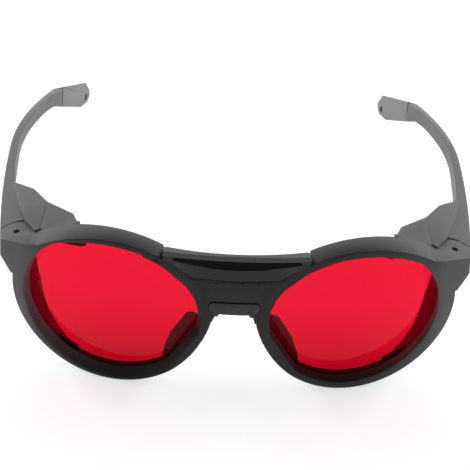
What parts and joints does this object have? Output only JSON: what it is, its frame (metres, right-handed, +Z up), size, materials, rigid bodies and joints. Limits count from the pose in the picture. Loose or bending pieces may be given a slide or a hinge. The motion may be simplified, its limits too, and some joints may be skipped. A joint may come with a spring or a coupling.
{
  "type": "laser safety glasses",
  "caption": "Wraparound laser safety glasses with red filter lenses in a dark moulded front, clip-on bridge and side shields, a soft nose pad and folding temples.",
  "frame": {"origin": "middle of the bounding box in plan, on the plane the glasses stand on", "axes": "+X towards the wearer's left, +Y back along the temples, +Z up; the lenses face -Y"},
  "size_m": [0.1544, 0.1664, 0.0555],
  "materials": {
    "frame": "fine satin dark gray moulding",
    "temple": "fine satin dark gray moulding",
    "shield": "fine satin dark gray moulding",
    "lens": "clear deep red filter plastic, polished",
    "pad": "soft matt dark gray",
    "screw": "plain steel",
    "insert": "plain turned brass"
  },
  "bodies": {
    "front": {"frame_front": "frame", "lens_left": "lens", "lens_right": "lens", "bridge_shield": "shield", "nose_pad": "pad", "side_shield_upper_left": "shield", "side_shield_upper_right": "shield", "side_shield_lower_left": "shield", "side_shield_lower_right": "shield", "hinge_screw_left": "screw", "hinge_screw_right": "screw", "hinge_insert_left": "insert", "hinge_insert_right": "insert"},
    "temple_left": {"temple_left": "temple", "hinge_bush_left": "insert"},
    "temple_right": {"temple_right": "temple", "hinge_bush_right": "insert"}
  },
  "joints": [
    {"name": "temple_left_fold", "type": "hinge", "parent": "front", "child": "temple_left", "pos_m": [0.0684, -0.05944, 0.03794], "axis": [0, 0, 1], "range_deg": [0, 78]},
    {"name": "temple_right_fold", "type": "hinge", "parent": "front", "child": "temple_right", "pos_m": [-0.0684, -0.05944, 0.03794], "axis": [0, 0, -1], "range_deg": [0, 66]}
  ]
}
